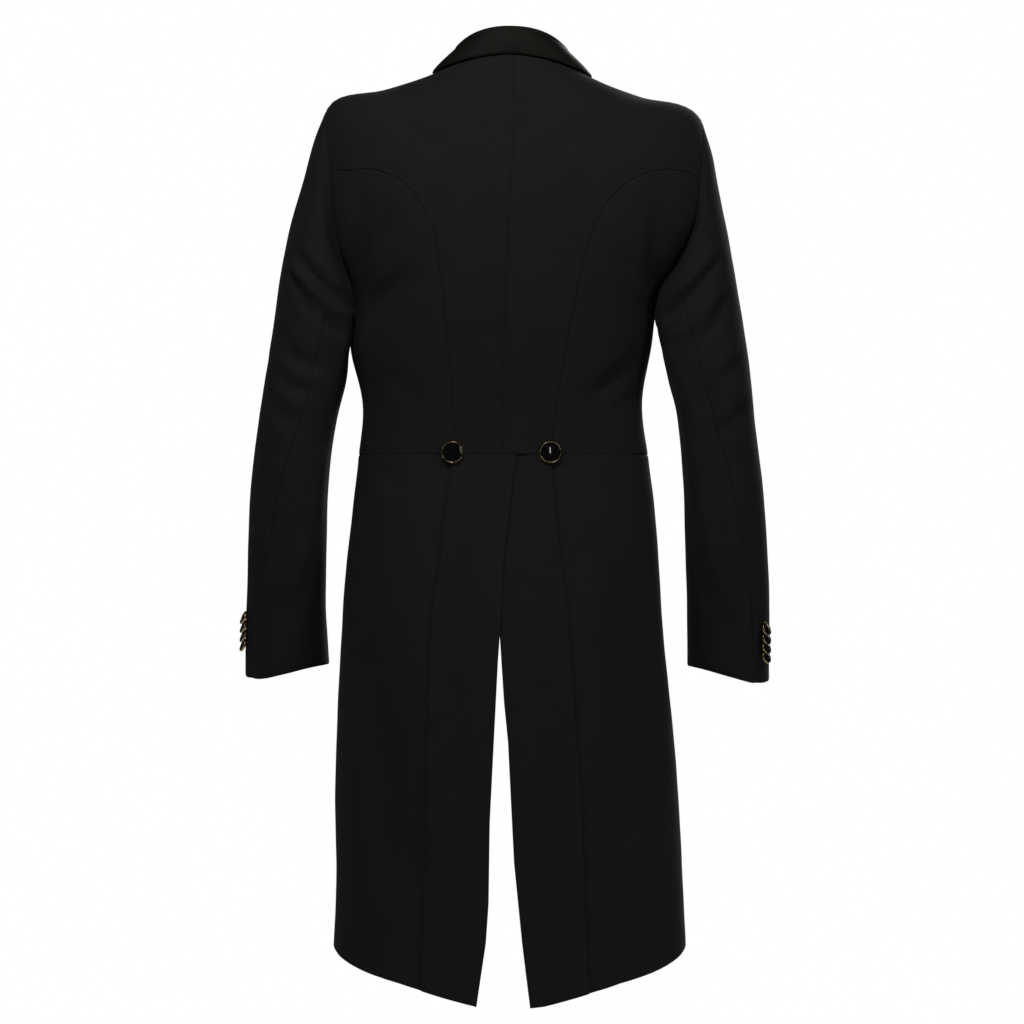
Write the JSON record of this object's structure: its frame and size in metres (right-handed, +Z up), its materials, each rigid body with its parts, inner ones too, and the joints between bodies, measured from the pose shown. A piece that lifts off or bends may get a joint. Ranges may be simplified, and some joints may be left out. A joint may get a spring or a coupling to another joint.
{
  "type": "riding show jacket",
  "caption": "Black riding tailcoat with a velvet collar, curved back seams, gold-rimmed buttons at waist and cuffs, and long split tails, in the shape it has when worn.",
  "frame": {"origin": "the middle of the neck base, level with the neck ends of the shoulder seams, where the wearer holds the coat up", "axes": "+Z up along the coat, the front faces -Y, +X to the wearer's left"},
  "size_m": [0.5781, 0.2492, 1.0579],
  "materials": {
    "cloth": "matt black wool",
    "collar": "black velvet",
    "button_rim": "polished gold",
    "button_face": "gloss black"
  },
  "bodies": {
    "root": {"back_left": "cloth", "side_back_left": "cloth", "front_left": "cloth", "lapel_left": "cloth", "top_sleeve_left": "cloth", "under_sleeve_left": "cloth", "tail_back_left": "cloth", "tail_side_left": "cloth", "back_right": "cloth", "side_back_right": "cloth", "front_right": "cloth", "lapel_right": "cloth", "top_sleeve_right": "cloth", "under_sleeve_right": "cloth", "tail_back_right": "cloth", "tail_side_right": "cloth", "collar": "collar", "waist_left_rim": "button_rim", "waist_right_rim": "button_rim", "front_1_rim": "button_rim", "front_2_rim": "button_rim", "front_3_rim": "button_rim", "cuff_left_1_rim": "button_rim", "cuff_left_2_rim": "button_rim", "cuff_left_3_rim": "button_rim", "cuff_left_4_rim": "button_rim", "cuff_right_1_rim": "button_rim", "cuff_right_2_rim": "button_rim", "cuff_right_3_rim": "button_rim", "cuff_right_4_rim": "button_rim", "waist_left_face": "button_face", "waist_right_face": "button_face", "front_1_face": "button_face", "front_2_face": "button_face", "front_3_face": "button_face", "cuff_left_1_face": "button_face", "cuff_left_2_face": "button_face", "cuff_left_3_face": "button_face", "cuff_left_4_face": "button_face", "cuff_right_1_face": "button_face", "cuff_right_2_face": "button_face", "cuff_right_3_face": "button_face", "cuff_right_4_face": "button_face"}
  },
  "joints": []
}
